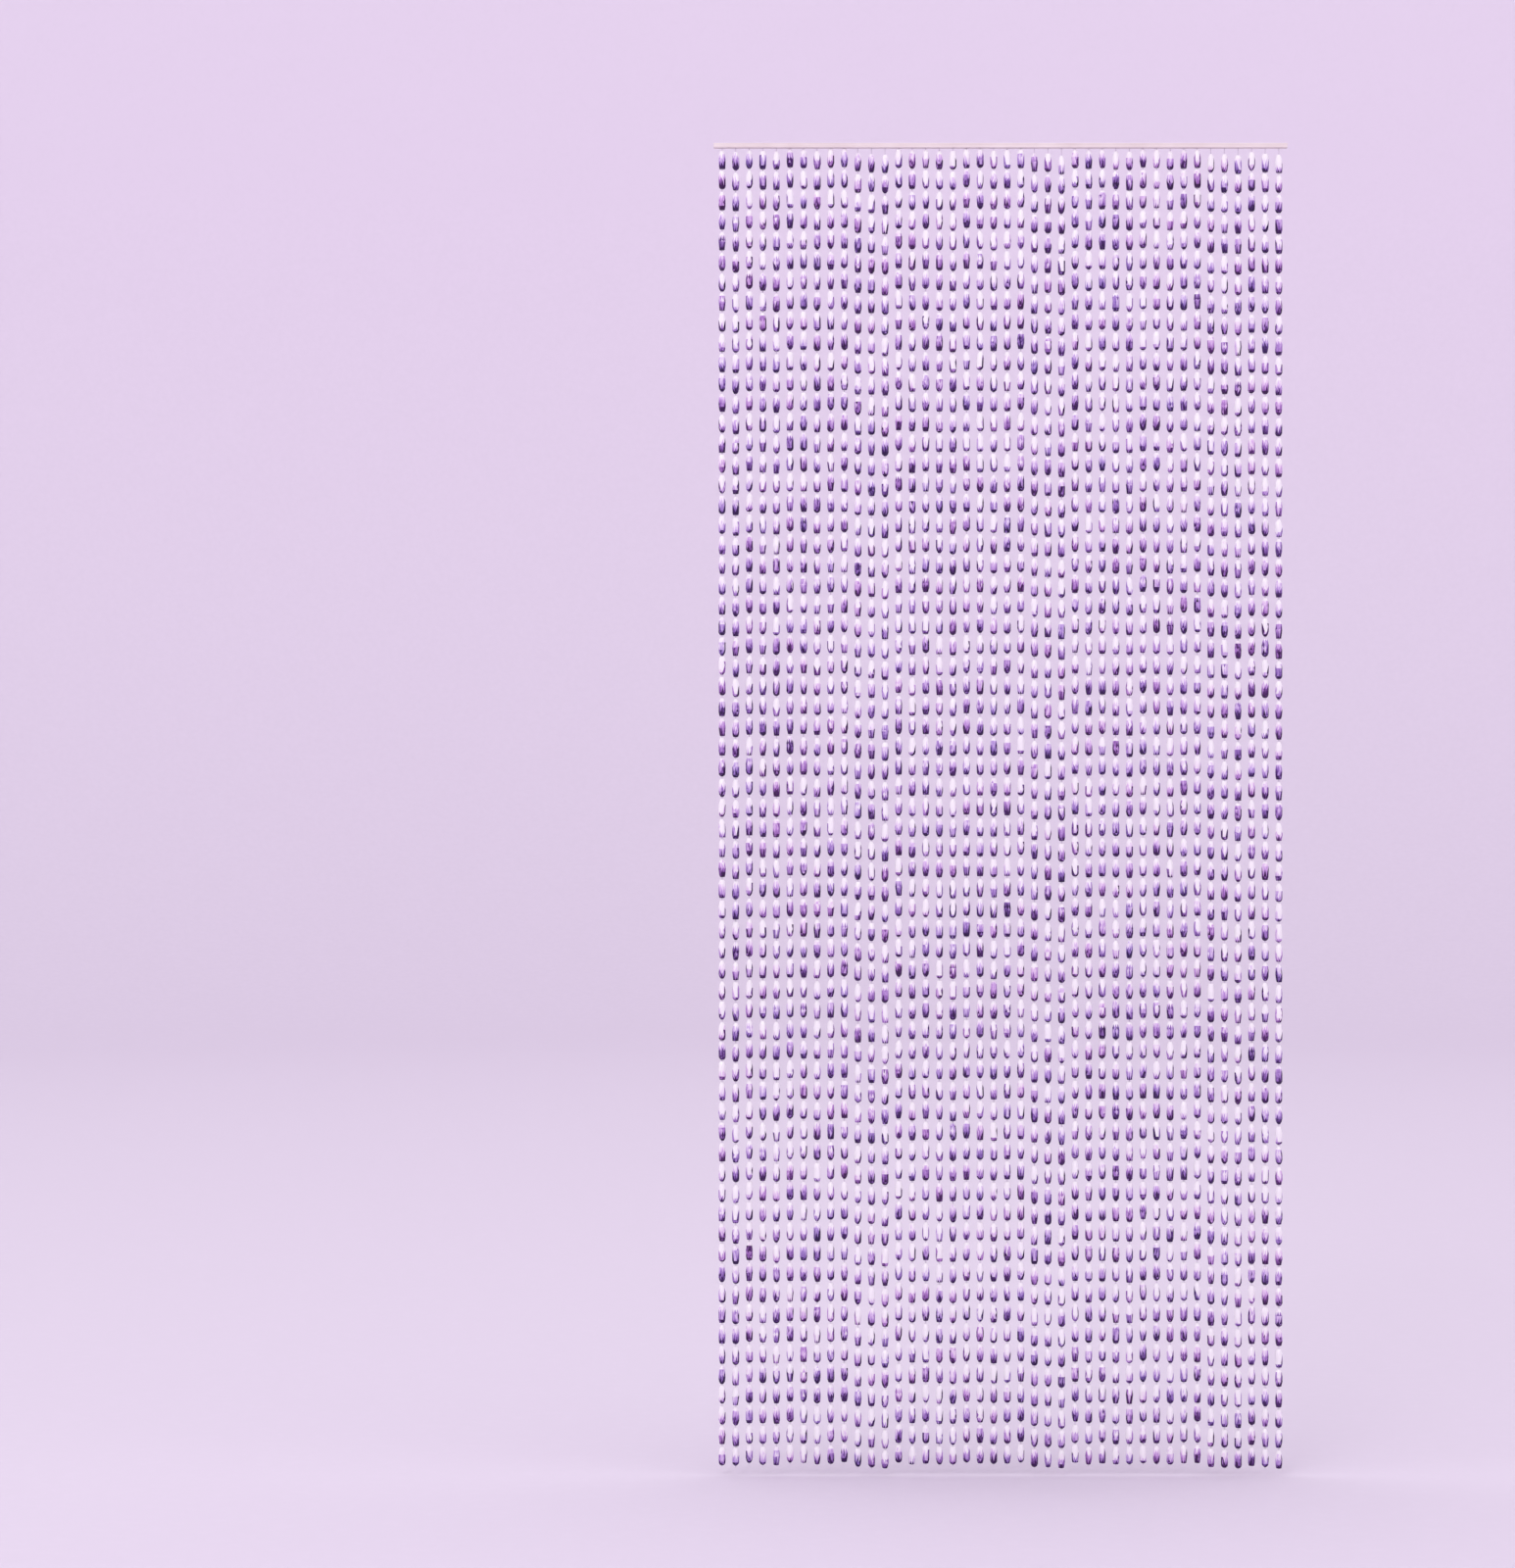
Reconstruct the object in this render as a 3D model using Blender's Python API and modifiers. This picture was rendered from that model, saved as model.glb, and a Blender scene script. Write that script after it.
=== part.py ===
"""Bead curtain: strings of olive beads that hang from a slim heading strip.

X runs along the heading, Y through the curtain and +Z up. The origin is the middle of the heading's
top face, and everything hangs below it. All sizes are in metres.
"""

import math

import bmesh
import bpy
from mathutils import Matrix

MM = 0.001

# Strings and their beads
STRING_COUNT = 42
STRING_PITCH = 20.6 * MM
BEADS_ON_A_STRING = 65
BEAD_LENGTH = 27.8 * MM
BEAD_WIDTH = 11.0 * MM
BEAD_TIP_WIDTH = 4.0 * MM  # across the flat end round the bead's hole
BEAD_SWELL = 8.0 * MM  # the length over which a bead's end grows to its full width
BEAD_GAP = 2.9 * MM  # bare cord between two beads
NECK_WIDTH = 1.6 * MM  # doubled cord and knot above the first bead
NECK_LENGTH = 1.5 * MM  # from the heading to the first bead of the shortest string
STRING_SIDES = 8

# How far below the shortest string each string's first bead hangs, in millimetres. The knots run in
# sets of 13, and each set steps down at its end. The strings at both ends of the curtain differ.
KNOT_DROPS_MM = {
    "left_end": (3.3, 5.5),
    "each_set": (0.3, 2.5, 1.0, 2.6, 3.4, 0.4, 1.1, 2.6, 1.0, 0.2, 6.7, 7.4, 9.2),
    "right_end": (4.9, 6.8, 8.5),
}

# Heading strip, a channel with closed ends that is slotted below
HEADING_LENGTH = 870.0 * MM
HEADING_DEPTH = 12.0 * MM
HEADING_HEIGHT = 7.0 * MM
HEADING_WALL = 1.5 * MM
HEADING_EDGE = 0.5 * MM  # bevel along its outer edges
SLOT_WIDTH = 2.6 * MM

# Carrier that joins the strings inside the heading
CARRIER_WIDTH = 3.2 * MM
CARRIER_SIDES = 8
CLEARANCE = 0.3 * MM

# Worked out from the sizes above
STRING_LENGTH = BEADS_ON_A_STRING * (BEAD_LENGTH + BEAD_GAP) - BEAD_GAP
CAVITY_LENGTH = HEADING_LENGTH - 2 * HEADING_WALL
CARRIER_LENGTH = CAVITY_LENGTH - 2 * CLEARANCE
CARRIER_Z = -HEADING_HEIGHT + HEADING_WALL + CLEARANCE + CARRIER_WIDTH / 2


def clear_scene():
    """Remove every object of the open file."""
    for item in list(bpy.data.objects):
        bpy.data.objects.remove(item, do_unlink=True)


def new_collection(name):
    """A collection of the scene with this name."""
    group = bpy.data.collections.new(name)
    bpy.context.scene.collection.children.link(group)
    return group


def new_material(name, colour, roughness):
    """A plain Principled material."""
    material = bpy.data.materials.new(name)
    material.use_nodes = True
    shader = material.node_tree.nodes["Principled BSDF"]
    shader.inputs["Base Color"].default_value = (*colour, 1.0)
    shader.inputs["Roughness"].default_value = roughness
    shader.inputs["Metallic"].default_value = 0.0
    return material


def new_object(name, mesh, group):
    """An object with this mesh in a collection."""
    item = bpy.data.objects.new(name, mesh)
    group.objects.link(item)
    return item


def box_mesh(name, length, depth, height):
    """A box centred on its origin, with its size in its mesh."""
    solid = bmesh.new()
    bmesh.ops.create_cube(solid, size=1.0)
    bmesh.ops.scale(solid, vec=(length, depth, height), verts=solid.verts)
    mesh = bpy.data.meshes.new(name)
    solid.to_mesh(mesh)
    solid.free()
    return mesh


def rod_mesh(name, length, width, sides):
    """A rod along X, centred on its origin, with flats above and below."""
    solid = bmesh.new()
    radius = width / 2 / math.cos(math.pi / sides)
    bmesh.ops.create_cone(solid, cap_ends=True, segments=sides, radius1=radius, radius2=radius, depth=length)
    flats_up = Matrix.Rotation(math.radians(90), 3, "Y") @ Matrix.Rotation(math.pi / sides, 3, "Z")
    bmesh.ops.rotate(solid, matrix=flats_up, verts=solid.verts)
    mesh = bpy.data.meshes.new(name)
    solid.to_mesh(mesh)
    solid.free()
    return mesh


def string_outline(name, top, bottom):
    """Half the outline of one string: a neck from the carrier down, then the outer form of its beads."""
    neck, tip, full = NECK_WIDTH / 2, BEAD_TIP_WIDTH / 2, BEAD_WIDTH / 2
    points = [
        (0.0, CARRIER_Z),
        (neck, CARRIER_Z),
        (neck, top),
        (tip, top),
        (full, top - BEAD_SWELL),
        (full, bottom + BEAD_SWELL),
        (tip, bottom),
        (0.0, bottom),
    ]
    edges = [(number, number + 1) for number in range(len(points) - 1)]
    mesh = bpy.data.meshes.new(name)
    mesh.from_pydata([(radius, 0.0, height) for radius, height in points], edges, [])
    return mesh


def turn_outline(item):
    """Turn an object's outline about Z into a closed solid."""
    screw = item.modifiers.new("turned", "SCREW")
    screw.axis = "Z"
    screw.steps = STRING_SIDES
    screw.render_steps = STRING_SIDES
    screw.use_smooth_shade = False
    screw.use_merge_vertices = True
    screw.merge_threshold = 0.01 * MM


def boolean(target, operation, cutters):
    """Join or cut a target with every object of a collection."""
    modifier = target.modifiers.new(operation.lower(), "BOOLEAN")
    modifier.operation = operation
    modifier.operand_type = "COLLECTION"
    modifier.collection = cutters


def hide_tool(item):
    """Mark an object as one that only shapes another."""
    item.hide_render = True
    item.display_type = "WIRE"


def knot_drop(index):
    """How far below the shortest string's first bead this string's first bead hangs."""
    left, right = KNOT_DROPS_MM["left_end"], KNOT_DROPS_MM["right_end"]
    from_right = index - (STRING_COUNT - len(right))
    if index < len(left):
        return left[index] * MM
    if from_right >= 0:
        return right[from_right] * MM
    each_set = KNOT_DROPS_MM["each_set"]
    return each_set[index % len(each_set)] * MM


def build_heading(parts, tools):
    """The heading: a strip hollowed for the carrier and slotted below for the strings' necks."""
    heading = new_object("heading", box_mesh("heading", HEADING_LENGTH, HEADING_DEPTH, HEADING_HEIGHT), parts)
    heading.location.z = -HEADING_HEIGHT / 2
    heading.data.materials.append(new_material("heading_cream", (0.86, 0.78, 0.76), 0.5))
    edge = heading.modifiers.new("outer_edges", "BEVEL")
    edge.width = HEADING_EDGE
    edge.segments = 1
    edge.limit_method = "ANGLE"
    cavity_size = (CAVITY_LENGTH, HEADING_DEPTH - 2 * HEADING_WALL, HEADING_HEIGHT - 2 * HEADING_WALL)
    cavity = new_object("cavity", box_mesh("cavity", *cavity_size), tools)
    cavity.location.z = -HEADING_HEIGHT / 2
    slot = new_object("slot", box_mesh("slot", CAVITY_LENGTH, SLOT_WIDTH, HEADING_HEIGHT), tools)
    slot.location.z = -HEADING_HEIGHT
    for tool in (cavity, slot):
        hide_tool(tool)
    boolean(heading, "DIFFERENCE", tools)


def build_strings(parts, tools):
    """The strings: one comb, whose spine is the carrier inside the heading."""
    comb = new_object("string_comb", rod_mesh("carrier", CARRIER_LENGTH, CARRIER_WIDTH, CARRIER_SIDES), parts)
    comb.location.z = CARRIER_Z
    comb.data.materials.append(new_material("bead_violet", (0.62, 0.50, 0.80), 0.15))
    first_x = -(STRING_COUNT - 1) / 2 * STRING_PITCH
    for index in range(STRING_COUNT):
        top = -(HEADING_HEIGHT + NECK_LENGTH + knot_drop(index))
        outline = string_outline("string", top, top - STRING_LENGTH)
        tooth = new_object(f"string_{index + 1:02d}", outline, tools)
        tooth.location.x = first_x + index * STRING_PITCH
        turn_outline(tooth)
        hide_tool(tooth)
    boolean(comb, "UNION", tools)


def main():
    clear_scene()
    parts = new_collection("bead_curtain")
    build_heading(parts, new_collection("heading_tools"))
    build_strings(parts, new_collection("string_tools"))


main()
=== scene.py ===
"""Looks of the bead curtain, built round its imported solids.

X runs along the heading, Y through the curtain and +Z up, in metres. The origin is the middle of the
heading's top face. The heading keeps its solid. The comb of strings is replaced by the beaded
strings themselves: faceted beads threaded on knotted cord, and the carrier that holds the cords.
"""

import math

import bmesh
import bpy
import numpy as np
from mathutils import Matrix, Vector


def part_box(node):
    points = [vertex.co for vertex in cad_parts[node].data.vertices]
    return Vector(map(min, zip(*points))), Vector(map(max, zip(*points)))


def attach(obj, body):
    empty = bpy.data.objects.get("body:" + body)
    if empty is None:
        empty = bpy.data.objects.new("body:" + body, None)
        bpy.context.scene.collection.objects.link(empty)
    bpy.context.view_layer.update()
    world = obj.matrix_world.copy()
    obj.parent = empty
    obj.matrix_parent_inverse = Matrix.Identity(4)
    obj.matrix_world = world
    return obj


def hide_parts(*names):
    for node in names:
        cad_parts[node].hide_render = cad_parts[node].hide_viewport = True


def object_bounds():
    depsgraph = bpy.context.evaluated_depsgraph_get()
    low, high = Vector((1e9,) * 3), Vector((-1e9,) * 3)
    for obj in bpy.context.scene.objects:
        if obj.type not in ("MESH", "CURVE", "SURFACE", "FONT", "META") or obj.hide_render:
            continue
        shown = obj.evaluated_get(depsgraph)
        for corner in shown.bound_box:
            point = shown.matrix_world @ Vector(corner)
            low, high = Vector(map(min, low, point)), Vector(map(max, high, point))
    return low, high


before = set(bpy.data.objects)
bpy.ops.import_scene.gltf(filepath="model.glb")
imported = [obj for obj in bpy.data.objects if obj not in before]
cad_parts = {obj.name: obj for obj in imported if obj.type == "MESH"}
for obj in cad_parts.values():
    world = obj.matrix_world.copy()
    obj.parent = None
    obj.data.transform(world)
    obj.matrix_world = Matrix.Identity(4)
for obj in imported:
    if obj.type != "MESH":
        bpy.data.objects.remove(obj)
CAD_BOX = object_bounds()

MM = 0.001

# The curtain's own sizes, as its solids have them
STRING_COUNT = 42
STRING_PITCH = 20.6 * MM
BEADS_ON_A_STRING = 65
BEAD_LENGTH = 27.8 * MM
BEAD_WIDTH = 11.0 * MM
BEAD_GAP = 2.9 * MM
NECK_LENGTH = 1.5 * MM  # from the heading to the first bead of the shortest string
KNOT_DROPS_MM = {
    "left_end": (3.3, 5.5),
    "each_set": (0.3, 2.5, 1.0, 2.6, 3.4, 0.4, 1.1, 2.6, 1.0, 0.2, 6.7, 7.4, 9.2),
    "right_end": (4.9, 6.8, 8.5),
}
HEADING_WALL = 1.5 * MM
CLEARANCE = 0.3 * MM  # between the heading and the carrier inside it
CARRIER_WIDTH = 3.2 * MM
HEADING_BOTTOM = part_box("heading")[0].z
CARRIER_Z = HEADING_BOTTOM + HEADING_WALL + CLEARANCE + CARRIER_WIDTH / 2
CARRIER_SIDES = 16

SHAPE_SEED, HUE_SEED = 42, 43  # of the random draws

# The cuts of the beads. Each cut draws its sizes at random between these limits.
BEAD_SHAPES = 14  # different cuts, shared out among the beads
BEAD_SIDES = 8
SHORTER_MM = (0.0, 0.7)  # than BEAD_LENGTH
LOWER_TAPER_MM = (3.2, 12.5)
UPPER_TAPER_MM = (6.5, 13.5)
LOWER_TIP_MM = (1.7, 4.7)  # radius of the flat lower end
UPPER_TIP_MM = (1.6, 4.0)
FULLNESS = (0.94, 1.025)  # of half the bead's width, from its axis out to its corners
GIRDLE_PLACE = (0.3, 0.75)  # how far up the bead's straight middle its girdle lies, a ring of corners
SHOULDER_WIDTH = 0.84  # of the full radius, where each taper steepens
SHOULDER_PLACE = 0.42  # of the taper's length, from the tip
SHOULDER_OVER_TIP = 1.1  # least radius of the lower shoulder, in radii of the tip
HOLE_WIDTH = 1.9 * MM
MOUTH_DEPTH = 0.5 * MM  # the hole's two mouths are shallow cones

# Tones of the beads, from 0 for the darkest violet to 1 for clear white. They hold the beads' own violet
# and painted light: a painted highlight on the upper part, painted shade towards the lower tip and down
# the left and right sides, and a middle painted paler. Places up a bead are shares of its length. Places
# across it run from 0 on its middle line to 1 at its left or right edge, as seen from in front.
STEPPED_SHARE = 0.7  # of the paling from end to end, partly own violet and partly painted light, in steps from facet to facet
EVEN_BELOW = 0.4  # the differences between beads fade out from here down to the lower tip
RISE_MEAN, RISE_SPREAD, RISE_LEAST = 0.012, 0.15, -0.17  # added to a bead's even paling
PALE_SHARE = 0.16  # of the beads, clear but for their lower tips, partly painted shade, and their side lines of painted shade
PALE_RISE = (0.4, 0.7)  # the same, for the clear beads
FACET_SPREAD = 0.085  # from facet to facet of one bead
SIDES_REACH = (0.55, 0.8)  # up to which the sides are darker with painted shade
REACH_FADE = 0.1  # below that, where the painted shade of the sides fades out
RIGHT_PAINTED_SHADE = (0.9, -0.04, 0.30)  # share of beads with painted shade down the right side, and the tones of that shade
# Painted shade down the left side, the side of the key lamp: on fewer beads, and paler, than on the right
LEFT_PAINTED_SHADE = (0.65, 0.10, 0.55)
SIDE_START, SIDE_FADE = 0.64, 0.16  # across a bead, where the painted shade of a side starts, and to its full depth
NARROWING = (0.0, 0.5)  # how much further in the painted shade of a side starts at the lower tip
CENTRE_PAINTED_LIGHT, CENTRE_SPREAD = 0.06, 0.08  # painted light: how much paler the middle is than the rest between the sides
CENTRE_REACH = 0.6  # across a bead
CENTRE_START, CENTRE_FADE = 0.15, 0.15  # up a bead
ARCH_SHARE = 0.15  # of the beads, with a band of painted shade where the painted shade of the sides ends
ARCH_DEPTH = (0.12, 0.32)  # how much darker the band is
ARCH_HALF_HEIGHT = 0.1

# Hues of the beads, in turns of the colour wheel from their violet towards pink: the usual shift, its
# spread from bead to bead, and the most
HUE_SHIFT, HUE_SPREAD, HUE_MOST = -0.001, 0.010, 0.026
SAME_HUE = 0.5  # the hue attribute's value where there is no shift

# How the beads sit on their cords
BEAD_SHIFT = 0.9 * MM  # most that a bead sits above or below its even place on the cord
LEAN_SPREAD = math.radians(0.9)  # of a bead, from the cord's line

# Cord, and the outlines of its knots from above down: (share of the knot's radius, height in mm)
CORD_WIDTH = 0.9 * MM
KNOT_WIDTH = 2.0 * MM
CORD_SIDES = 8
FIRST_KNOT = ((0.0, 1.3), (1.0, 0.7), (0.0, 0.1))  # over the top of the first bead
BEAD_KNOT = ((0.0, 0.2), (0.8, -0.3), (1.0, -0.8), (0.8, -1.3), (0.0, -1.8))  # under each bead

# The photograph's frame at the curtain's plane, and the camera that gives it
PHOTO_WIDTH_PX, PHOTO_HEIGHT_PX = 1546, 1600
METRES_A_PIXEL = 1.487 * MM
ORIGIN_PX = (1020.9, 146.5)
CAMERA_DISTANCE = 6.0
SENSOR_WIDTH_MM = 36.0

# Studio
FLOOR_BELOW = 10.0 * MM  # from the comb's lower end to the floor
STUDIO_RADIUS = 14.0
STUDIO_HEIGHT = 7.0
STUDIO_BEND = 4.0  # radius of the sweep from the floor up into the wall
STUDIO_BEND_STEPS = 12
STUDIO_SIDES = 64
FLOOR_COLOUR = (0.655, 0.584, 0.684)
WALL_COLOUR = (0.802, 0.717, 0.830)
SKY_COLOUR = (0.97, 0.94, 1.0)
SKY_STRENGTH = 1.25
KEY_PLACE = (-3.0, -7.0, 4.4)
KEY_TARGET = (0.0, 0.0, -1.0)
KEY_SIZE = 3.0
KEY_WATTS = 164.0

NOISE_LOW, NOISE_HIGH = 0.3, 0.7  # nearly all of a noise texture lies between these


def knot_drop(index):
    """How far below the shortest string's first bead this string's first bead hangs."""
    left, right = KNOT_DROPS_MM["left_end"], KNOT_DROPS_MM["right_end"]
    from_right = index - (STRING_COUNT - len(right))
    if index < len(left):
        return left[index] * MM
    if from_right >= 0:
        return right[from_right] * MM
    each_set = KNOT_DROPS_MM["each_set"]
    return each_set[index % len(each_set)] * MM


# ---------------------------------------------------------------- meshes


def mesh_from_solid(name, solid):
    """The mesh of a bmesh whose faces are all made, with them facing outwards. It frees the bmesh."""
    bmesh.ops.recalc_face_normals(solid, faces=solid.faces)
    mesh = bpy.data.meshes.new(name)
    solid.to_mesh(mesh)
    solid.free()
    return mesh


def mesh_from_arrays(name, points, corners, sizes, **values_of_corners):
    """A flat-shaded mesh from arrays.

    They are its points, its faces' corners one after another, and each face's number of corners. Any
    more arrays are named values, one for each corner.
    """
    mesh = bpy.data.meshes.new(name)
    mesh.vertices.add(len(points))
    mesh.vertices.foreach_set("co", points.astype(np.float32).ravel())
    mesh.loops.add(len(corners))
    mesh.loops.foreach_set("vertex_index", corners.astype(np.int32))
    mesh.polygons.add(len(sizes))
    mesh.polygons.foreach_set("loop_start", first_corners(sizes).astype(np.int32))
    mesh.update(calc_edges=True)
    mesh.polygons.foreach_set("use_smooth", np.zeros(len(sizes), bool))
    for attribute_name, values in values_of_corners.items():
        attribute = mesh.attributes.new(attribute_name, "FLOAT", "CORNER")
        attribute.data.foreach_set("value", values.astype(np.float32))
    mesh.validate()
    return mesh


def first_corners(sizes):
    """Where each face's corners start, from each face's number of corners."""
    return np.concatenate([[0], np.cumsum(sizes)[:-1]])


def arrays_of(solid):
    """The points, corners and face sizes of a bmesh."""
    solid.verts.index_update()
    points = np.array([tuple(v.co) for v in solid.verts])
    corners = [v.index for face in solid.faces for v in face.verts]
    sizes = [len(face.verts) for face in solid.faces]
    return points, np.array(corners), np.array(sizes)


def ring_of_points(solid, radius, height, sides, turn=0.0):
    """Points round Z at one height."""
    angles = [turn + 2 * math.pi * k / sides for k in range(sides)]
    return [solid.verts.new((radius * math.cos(a), radius * math.sin(a), height)) for a in angles]


def join_rings(solid, lower, upper):
    """Four-sided faces between two rings whose points lie one above the other."""
    for k in range(len(lower)):
        after = (k + 1) % len(lower)
        solid.faces.new((lower[k], lower[after], upper[after], upper[k]))


def wrap_rings(solid, rings):
    """The tightest skin of flat facets round all the rings' points, left open at the first and last ring."""
    bmesh.ops.convex_hull(solid, input=solid.verts)
    for end in (set(rings[0]), set(rings[-1])):
        caps = [face for face in solid.faces if set(face.verts) <= end]
        bmesh.ops.delete(solid, geom=caps, context="FACES")


def turned_solid(outline, sides):
    """A bmesh turned about Z from (radius, height) pairs, and closed flat at both ends."""
    solid = bmesh.new()
    rings = [ring_of_points(solid, radius, height, sides) for radius, height in outline]
    for lower, upper in zip(rings, rings[1:]):
        join_rings(solid, lower, upper)
    solid.faces.new(list(reversed(rings[0])))
    solid.faces.new(rings[-1])
    return solid


# ---------------------------------------------------------------- beads


def bead_outline(rng):
    """The (radius, height) pairs of one cut of the bead, from z 0 at its lower end to its length."""
    length = BEAD_LENGTH - rng.uniform(*SHORTER_MM) * MM
    lower_taper = rng.uniform(*LOWER_TAPER_MM) * MM
    upper_taper = rng.uniform(*UPPER_TAPER_MM) * MM
    lower_tip = rng.uniform(*LOWER_TIP_MM) * MM
    upper_tip = rng.uniform(*UPPER_TIP_MM) * MM
    full = BEAD_WIDTH / 2 * rng.uniform(*FULLNESS)
    girdle = lower_taper + rng.uniform(*GIRDLE_PLACE) * (length - upper_taper - lower_taper)
    shoulder = full * SHOULDER_WIDTH
    return [
        (lower_tip, 0.0),
        (max(shoulder, lower_tip * SHOULDER_OVER_TIP), lower_taper * SHOULDER_PLACE),
        (full, lower_taper),
        (full, girdle),
        (full, length - upper_taper),
        (shoulder, length - upper_taper * SHOULDER_PLACE),
        (upper_tip, length),
    ]


def bead_shape(rng):
    """One cut of the bead, as arrays: three-sided facets round a hole."""
    outline = bead_outline(rng)
    solid = bmesh.new()
    half_step = math.pi / BEAD_SIDES
    rings = []
    for number, (radius, height) in enumerate(outline):
        rings.append(ring_of_points(solid, radius, height, BEAD_SIDES, half_step * (number % 2)))
    wrap_rings(solid, rings)
    length = outline[-1][1]
    lower_mouth = ring_of_points(solid, HOLE_WIDTH / 2, MOUTH_DEPTH, BEAD_SIDES)
    upper_mouth = ring_of_points(solid, HOLE_WIDTH / 2, length - MOUTH_DEPTH, BEAD_SIDES)
    join_rings(solid, lower_mouth, rings[0])
    join_rings(solid, rings[-1], upper_mouth)
    join_rings(solid, upper_mouth, lower_mouth)
    bmesh.ops.recalc_face_normals(solid, faces=solid.faces)
    shape = arrays_of(solid)
    solid.free()
    return shape


def share_past(place, start, fade):
    """0 up to the start, then evenly up to 1 over the fade."""
    return np.clip((place - start) / fade, 0.0, 1.0)


def bead_tones_and_painted_light(points, corners, sizes, turn, rng):
    """How pale each face corner of one bead is, from 0 for its darkest violet to 1 for clear white.

    The bead pales from its lower end up, mostly in steps from facet to facet: partly its own violet and
    partly painted light, a painted highlight on its upper part and painted shade towards its lower tip.
    Painted shade darkens its left and right sides as seen from in front, the right on more beads, and
    the middle between them is painted paler; some beads get a band of painted shade where the dark
    sides end. How far up the violet reaches, how dark its sides are below that, and the tone of each
    facet differ from bead to bead.
    """
    starts = first_corners(sizes)
    across, deep, along = (np.add.reduceat(points[corners, axis], starts) / sizes for axis in range(3))
    along /= BEAD_LENGTH
    # side places the painted shade of the sides, which falls on the left and right as seen from in front
    side = np.cos(np.arctan2(deep, across) + turn)  # -1 at the bead's left edge and 1 at its right edge

    pale = rng.random() < PALE_SHARE
    rise = rng.uniform(*PALE_RISE) if pale else max(rng.normal(RISE_MEAN, RISE_SPREAD), RISE_LEAST)
    reach = rng.uniform(*SIDES_REACH)
    below_reach = 1.0 - share_past(along, reach - REACH_FADE, REACH_FADE)
    tone = rise * np.minimum(along / EVEN_BELOW, 1.0)
    narrowing = rng.uniform(*NARROWING) * (1.0 - np.minimum(along / reach, 1.0))
    # Painted light: the middle between the dark sides is paler
    at_centre = np.clip(1.0 - np.abs(side) / CENTRE_REACH, 0.0, 1.0) * below_reach
    at_centre *= share_past(along, CENTRE_START, CENTRE_FADE)
    tone += rng.normal(CENTRE_PAINTED_LIGHT, CENTRE_SPREAD) * at_centre
    # Painted shade: on some beads a dark band where the painted shade of the sides ends
    if rng.random() < ARCH_SHARE:
        tone -= rng.uniform(*ARCH_DEPTH) * (np.abs(along - reach) < ARCH_HALF_HEIGHT)
    tone += rng.normal(0.0, FACET_SPREAD, len(sizes))
    # Painted shade down the right and left sides, as seen from in front
    for sign, share, darkest, palest in ((1.0, *RIGHT_PAINTED_SHADE), (-1.0, *LEFT_PAINTED_SHADE)):
        if rng.random() < share:
            at_side = share_past(sign * side, SIDE_START - narrowing, SIDE_FADE) * below_reach
            tone += np.minimum(rng.uniform(darkest, palest) - along - tone, 0.0) * at_side

    # The paling from end to end: partly the bead's own violet, partly a painted highlight above and painted
    # shade below
    stepped = np.repeat(STEPPED_SHARE * along + tone, sizes)
    return stepped + (1.0 - STEPPED_SHARE) * points[corners, 2] / BEAD_LENGTH


def choose_beads(shapes, top, rng):
    """The beads of one string from the first down: each one's cut, and the height of its lower end."""
    chosen = []
    for k in range(BEADS_ON_A_STRING):
        shape = shapes[rng.integers(len(shapes))]
        length = shape[0][:, 2].max()  # the height of its highest point
        upper_end = top - k * (BEAD_LENGTH + BEAD_GAP) + rng.uniform(-BEAD_SHIFT, BEAD_SHIFT)
        chosen.append((shape, upper_end - length))
    return chosen


def string_of_beads(name, chosen, x, rng, hue_rng):
    """All the beads of one string as one mesh, each turned at random about the cord and a little askew."""
    points, corners, sizes, shades = [], [], [], []
    offset = 0
    for (cut, cut_corners, cut_sizes), bottom in chosen:
        turn = rng.uniform(0, 2 * math.pi)
        lean_x, lean_y = rng.normal(0, LEAN_SPREAD, 2)
        c, s = math.cos(turn), math.sin(turn)
        local = np.column_stack([c * cut[:, 0] - s * cut[:, 1], s * cut[:, 0] + c * cut[:, 1], cut[:, 2]])
        over_middle = local[:, 2] - BEAD_LENGTH / 2
        local[:, 0] += over_middle * lean_x
        local[:, 1] += over_middle * lean_y
        points.append(local + [x, 0.0, bottom])
        corners.append(cut_corners + offset)
        sizes.append(cut_sizes)
        offset += len(cut)
        shades.append(bead_tones_and_painted_light(cut, cut_corners, cut_sizes, turn, rng))
    shifts = np.minimum(hue_rng.gumbel(HUE_SHIFT, HUE_SPREAD, len(chosen)), HUE_MOST)
    return mesh_from_arrays(
        name,
        np.concatenate(points),
        np.concatenate(corners),
        np.concatenate(sizes),
        # each face corner's tone: own violet with painted light and shade
        shade=np.concatenate(shades),
        hue=np.repeat(SAME_HUE + shifts, [len(bead_corners) for bead_corners in corners]),
    )


# ---------------------------------------------------------------- cords


def knot_outline(shape, height):
    """The (radius, height) pairs of one knot. The cord goes through it, so it is nowhere thinner."""
    return [(max(CORD_WIDTH / 2, share * KNOT_WIDTH / 2), height + over * MM) for share, over in shape]


def cord_mesh(name, x, top, bottoms):
    """One string's cord, from the carrier to the knot under its last bead, with a knot under each bead."""
    outline = [(CORD_WIDTH / 2, CARRIER_Z)] + knot_outline(FIRST_KNOT, top)
    for bottom in bottoms:
        outline += knot_outline(BEAD_KNOT, bottom)
    solid = turned_solid(outline, CORD_SIDES)
    for face in solid.faces:
        face.smooth = True
    bmesh.ops.translate(solid, vec=(x, 0.0, 0.0), verts=solid.verts)
    return mesh_from_solid(name, solid)


# ---------------------------------------------------------------- materials


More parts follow.
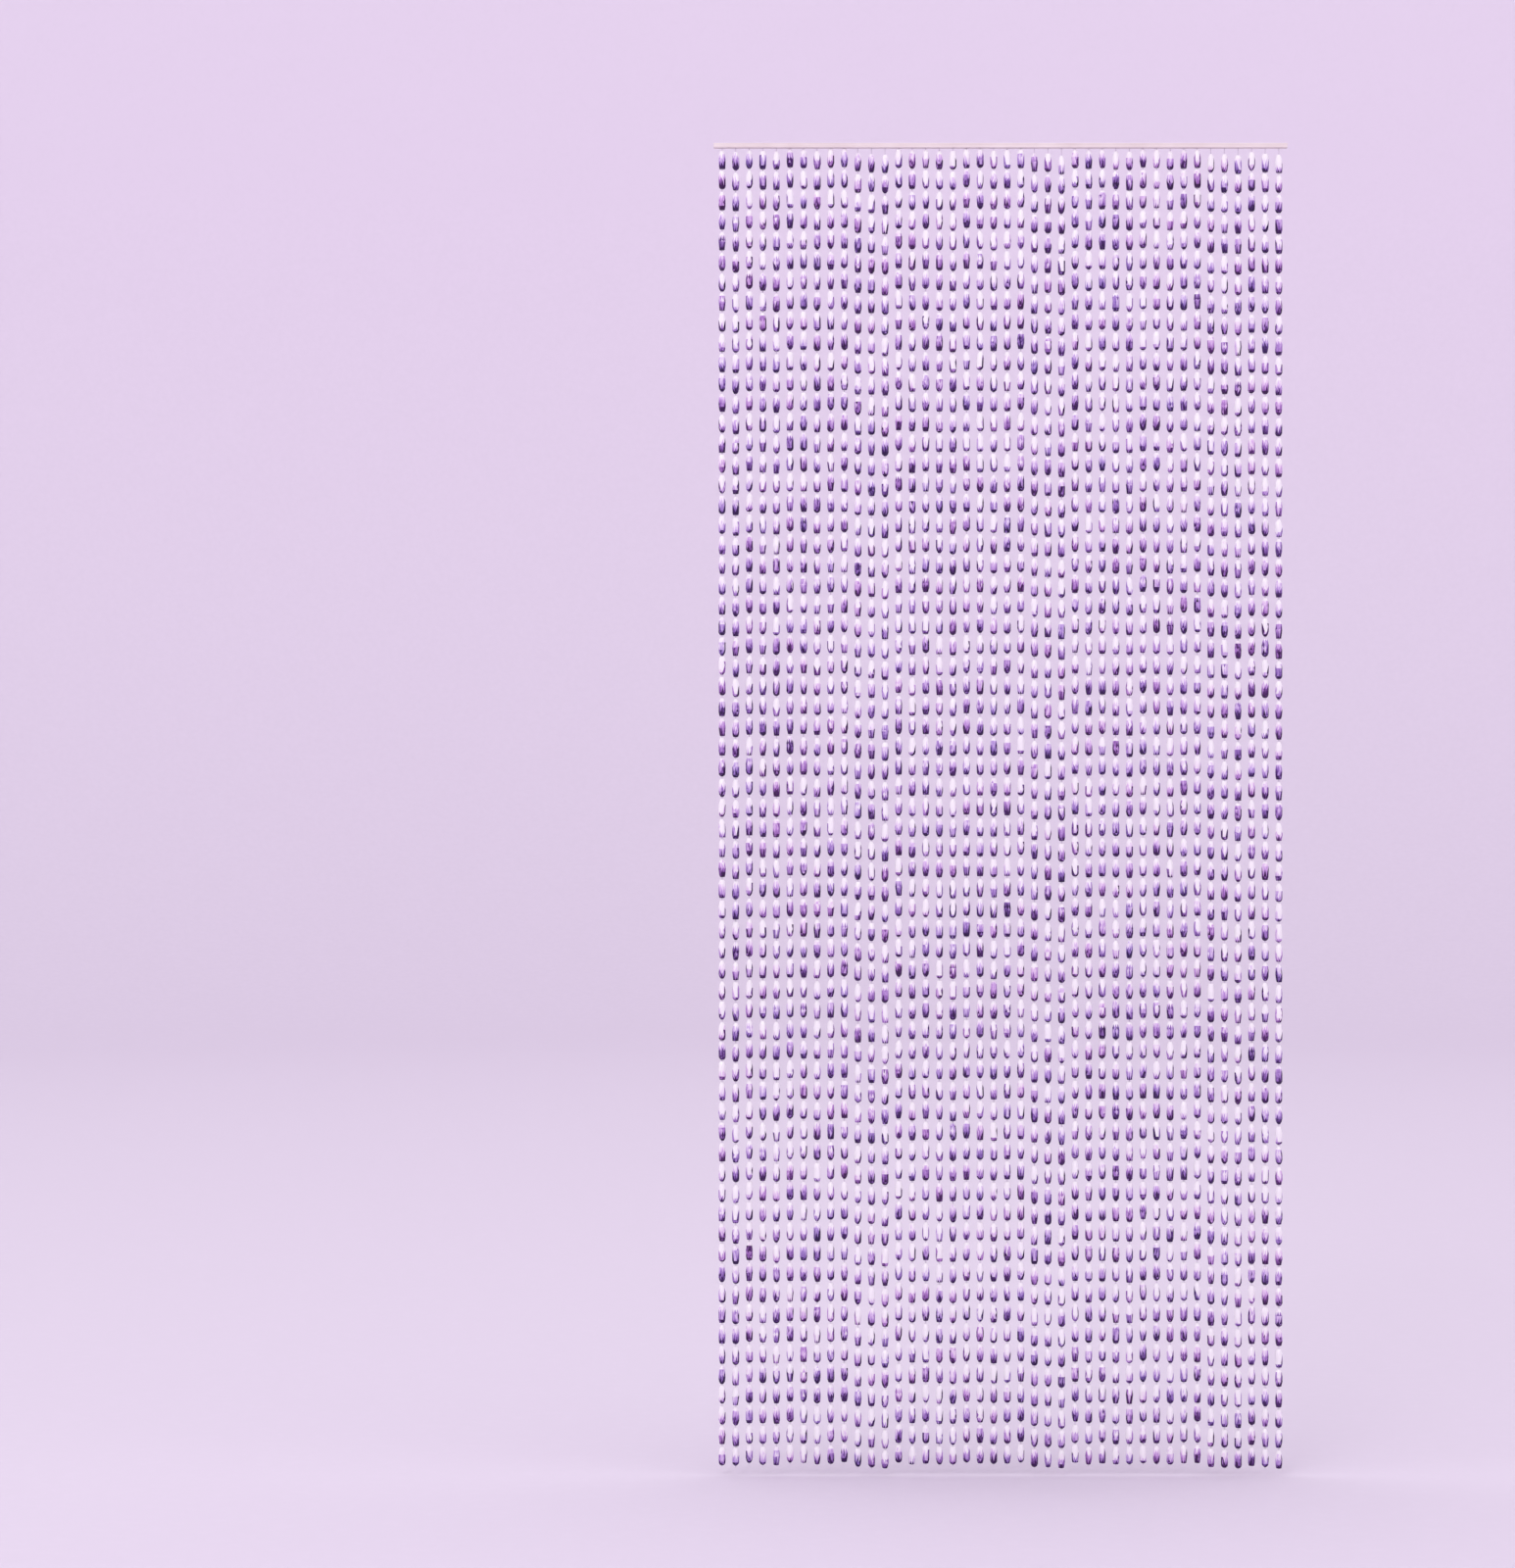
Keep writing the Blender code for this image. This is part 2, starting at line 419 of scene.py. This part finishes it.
class Nodes:
    """A short way to add nodes to one new material."""

    def __init__(self, name):
        self.material = bpy.data.materials.new(name)
        self.material.use_nodes = True
        self.tree = self.material.node_tree
        self.shader = self.tree.nodes["Principled BSDF"]

    def fill(self, socket, value):
        """Link a socket to another one, or give it a plain value."""
        if isinstance(value, bpy.types.NodeSocket):
            self.tree.links.new(value, socket)
        else:
            socket.default_value = value

    def add(self, kind, inputs=(), **settings):
        """A new node, with its settings, and its inputs by name or number."""
        node = self.tree.nodes.new("ShaderNode" + kind)
        for key, value in settings.items():
            setattr(node, key, value)
        for key, value in dict(inputs).items():
            self.fill(node.inputs[key], value)
        return node

    def place(self):
        """The coordinates of a point on the piece."""
        return self.add("TexCoord").outputs["Object"]

    def attribute(self, name):
        """A number that the mesh holds for each of its corners."""
        return self.add("Attribute", attribute_name=name).outputs["Fac"]

    def math(self, operation, *values):
        """A sum or product of sockets and numbers."""
        return self.add("Math", dict(enumerate(values)), operation=operation).outputs[0]

    def remap(self, value, low, high, to_low, to_high):
        """A value's range stretched evenly to another range."""
        inputs = {"Value": value, "From Min": low, "From Max": high, "To Min": to_low, "To Max": to_high}
        return self.add("MapRange", inputs).outputs[0]

    def spread(self, noise, least, most):
        """A noise's usual range stretched to another range."""
        return self.remap(noise, NOISE_LOW, NOISE_HIGH, least, most)

    def noise(self, scale, detail=2.0, place=None):
        """Soft random patches, about this many to a unit of the place."""
        inputs = {"Scale": scale, "Detail": detail, "Vector": place or self.place()}
        return self.add("TexNoise", inputs).outputs["Fac"]

    def ramp(self, value, stops):
        """Colours picked along stops of (position, colour)."""
        node = self.add("ValToRGB", {"Fac": value})
        elements = node.color_ramp.elements
        while len(elements) < len(stops):
            elements.new(0.5)
        for element, (position, colour) in zip(elements, stops):
            element.position = position
            element.color = (*colour, 1.0)
        return node.outputs["Color"]

    def bump(self, height, strength, distance):
        """A normal that follows a height."""
        inputs = {"Height": height, "Strength": strength, "Distance": distance}
        return self.add("Bump", inputs).outputs["Normal"]

    def set(self, **values):
        """Set the shader's inputs, whose names have _ for their spaces here."""
        for key, value in values.items():
            self.fill(self.shader.inputs[key.replace("_", " ")], value)


def bead_material():
    """Milky violet acrylic.

    The value at each face corner, which holds the beads' own violet together with painted highlights
    and painted shade, and a faint cloudiness place it between dark and clear, and the hue attribute
    makes it bluer or pinker.
    """
    n = Nodes("violet_acrylic")
    cloud = n.noise(scale=260.0, detail=3.0)
    level = n.math("ADD", n.attribute("shade"), n.spread(cloud, -0.05, 0.05))
    # From the darkest violet, partly painted shade, up to near white, partly painted highlight
    stops = [
        (0.03, (0.030, 0.008, 0.060)),
        (0.15, (0.068, 0.019, 0.138)),
        (0.24, (0.270, 0.128, 0.455)),
        (0.37, (0.505, 0.315, 0.700)),
        (0.50, (0.735, 0.555, 0.850)),
        (0.64, (0.940, 0.840, 0.945)),
        (0.76, (0.985, 0.950, 0.975)),
    ]
    colour = n.add("HueSaturation", {"Color": n.ramp(level, stops), "Hue": n.attribute("hue")})
    n.set(
        Base_Color=colour.outputs["Color"],
        Roughness=n.spread(n.noise(scale=900.0), 0.10, 0.24),
        Normal=n.bump(n.noise(scale=1400.0), strength=0.15, distance=0.2 * MM),
        Transmission_Weight=0.08,
        IOR=1.49,
        Specular_IOR_Level=0.25,
        Coat_Weight=0.10,
        Coat_Roughness=0.06,
    )
    return n.material


def cord_material():
    """Pale twisted nylon cord."""
    n = Nodes("nylon_cord")
    inputs = {"Vector": n.place(), "Scale": 420.0, "Distortion": 1.5}
    twist = n.add("TexWave", inputs, bands_direction="DIAGONAL").outputs["Fac"]
    n.set(
        Base_Color=n.ramp(twist, [(0.0, (0.50, 0.42, 0.56)), (1.0, (0.80, 0.74, 0.82))]),
        Roughness=n.spread(n.noise(scale=1500.0), 0.35, 0.55),
        Normal=n.bump(twist, strength=0.6, distance=0.2 * MM),
        Sheen_Weight=0.2,
    )
    return n.material


def heading_material():
    """Pale cream moulded strip with faint lines along its length."""
    n = Nodes("cream_strip")
    stretched = n.add("Mapping", {"Vector": n.place(), "Scale": (3.0, 700.0, 700.0)}).outputs["Vector"]
    lines = n.noise(scale=1.0, place=stretched)
    cloud = n.noise(scale=22.0, detail=4.0)
    tint = n.math("ADD", n.math("MULTIPLY", lines, 0.5), n.math("MULTIPLY", cloud, 0.5))
    n.set(
        Base_Color=n.ramp(tint, [(0.3, (0.70, 0.60, 0.58)), (0.7, (0.86, 0.78, 0.76))]),
        Roughness=n.spread(cloud, 0.38, 0.55),
        Normal=n.bump(lines, strength=0.35, distance=0.2 * MM),
    )
    return n.material


def studio_material(floor_z):
    """Plain matte paper with a barely visible grain, a little paler up the wall, where less light falls."""
    n = Nodes("studio_paper")
    height = n.add("SeparateXYZ", {"Vector": n.place()}).outputs["Z"]
    up_wall = n.remap(height, floor_z, floor_z + STUDIO_BEND, 0.0, 1.0)
    level = n.math("ADD", up_wall, n.spread(n.noise(scale=40.0, detail=3.0), -0.05, 0.05))
    n.set(Base_Color=n.ramp(level, [(0.0, FLOOR_COLOUR), (1.0, WALL_COLOUR)]), Roughness=0.9)
    return n.material


# ---------------------------------------------------------------- pieces


def new_object(name, data):
    """An object of the scene."""
    item = bpy.data.objects.new(name, data)
    bpy.context.scene.collection.objects.link(item)
    return item


def piece_of_comb(name, mesh, material):
    """A piece that rides on the one body and stands for the comb of strings."""
    item = new_object(name, mesh)
    mesh.materials.append(material)
    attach(item, "root")
    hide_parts("string_comb")


def build_heading():
    """The heading keeps its solid and takes a finer finish."""
    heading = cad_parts["heading"]
    heading.data.materials.clear()
    heading.data.materials.append(heading_material())


def build_carrier():
    """The carrier rod inside the heading, which every string's cord is fixed to."""
    low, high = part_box("string_comb")
    radius = CARRIER_WIDTH / 2
    solid = turned_solid([(radius, low.x), (radius, high.x)], CARRIER_SIDES)
    for vertex in solid.verts:
        vertex.co = Vector((vertex.co.z, vertex.co.x, vertex.co.y + CARRIER_Z))
    piece_of_comb("carrier", mesh_from_solid("carrier", solid), heading_material())


def build_strings():
    """The beads and the cord of every string."""
    rng, hue_rng = np.random.default_rng(SHAPE_SEED), np.random.default_rng(HUE_SEED)
    shapes = [bead_shape(rng) for _ in range(BEAD_SHAPES)]
    acrylic, nylon = bead_material(), cord_material()
    first_x = -(STRING_COUNT - 1) / 2 * STRING_PITCH
    for index in range(STRING_COUNT):
        x = first_x + index * STRING_PITCH
        top = HEADING_BOTTOM - NECK_LENGTH - knot_drop(index)
        beads_name, cord_name = f"beads_{index + 1:02d}", f"cord_{index + 1:02d}"
        chosen = choose_beads(shapes, top, rng)
        beads = string_of_beads(beads_name, chosen, x, rng, hue_rng)
        cord = cord_mesh(cord_name, x, top, [bottom for _, bottom in chosen])
        piece_of_comb(beads_name, beads, acrylic)
        piece_of_comb(cord_name, cord, nylon)


# ---------------------------------------------------------------- studio


def studio_outline(floor_z):
    """The (radius, height) pairs of the studio: flat floor, quarter-round sweep and upright wall."""
    bend_start = STUDIO_RADIUS - STUDIO_BEND
    outline = [(0.0, floor_z), (bend_start, floor_z)]
    for step in range(1, STUDIO_BEND_STEPS + 1):
        angle = math.radians(90) * step / STUDIO_BEND_STEPS
        rise = STUDIO_BEND - STUDIO_BEND * math.cos(angle)
        outline.append((bend_start + STUDIO_BEND * math.sin(angle), floor_z + rise))
    outline.append((STUDIO_RADIUS, floor_z + STUDIO_HEIGHT))
    return outline


def build_studio():
    """A round pale studio, open above: a floor that sweeps up into a wall on every side."""
    floor_z = CAD_BOX[0][2] - FLOOR_BELOW
    solid = bmesh.new()
    points = [solid.verts.new((radius, 0.0, height)) for radius, height in studio_outline(floor_z)]
    edges = [solid.edges.new(pair) for pair in zip(points, points[1:])]
    bmesh.ops.spin(
        solid,
        geom=points + edges,
        cent=(0.0, 0.0, 0.0),
        axis=(0.0, 0.0, 1.0),
        angle=2 * math.pi,
        steps=STUDIO_SIDES,
        use_merge=True,
    )
    bmesh.ops.remove_doubles(solid, verts=solid.verts, dist=1 * MM)
    for face in solid.faces:
        face.smooth = True
    mesh = mesh_from_solid("studio", solid)
    mesh.materials.append(studio_material(floor_z))
    new_object("studio", mesh)


def build_lights():
    """A pale sky over the studio, and one soft key lamp high in front, to the left."""
    lamp = bpy.data.lights.new("key", "AREA")
    lamp.shape = "SQUARE"
    lamp.size = KEY_SIZE
    lamp.energy = KEY_WATTS
    key = new_object("key", lamp)
    key.location = KEY_PLACE
    key.rotation_euler = (Vector(KEY_TARGET) - Vector(KEY_PLACE)).to_track_quat("-Z", "Y").to_euler()
    key.visible_camera = False
    world = bpy.context.scene.world or bpy.data.worlds.new("studio")
    bpy.context.scene.world = world
    world.use_nodes = True
    background = world.node_tree.nodes["Background"]
    background.inputs["Color"].default_value = (*SKY_COLOUR, 1.0)
    background.inputs["Strength"].default_value = SKY_STRENGTH


def build_camera():
    """Square on to the curtain, framed as the photograph."""
    x = (PHOTO_WIDTH_PX / 2 - ORIGIN_PX[0]) * METRES_A_PIXEL
    z = -(PHOTO_HEIGHT_PX / 2 - ORIGIN_PX[1]) * METRES_A_PIXEL
    camera = bpy.data.cameras.new("camera")
    camera.sensor_fit = "AUTO"
    camera.sensor_width = SENSOR_WIDTH_MM  # along the frame's longer side, which is its height
    camera.lens = SENSOR_WIDTH_MM * CAMERA_DISTANCE / (PHOTO_HEIGHT_PX * METRES_A_PIXEL)
    item = new_object("camera", camera)
    item.location = (x, -CAMERA_DISTANCE, z)
    item.rotation_euler = (math.radians(90), 0.0, 0.0)
    bpy.context.scene.camera = item


build_camera()
build_heading()
build_carrier()
build_strings()
build_studio()
build_lights()
bpy.context.scene.view_settings.view_transform = "Standard"
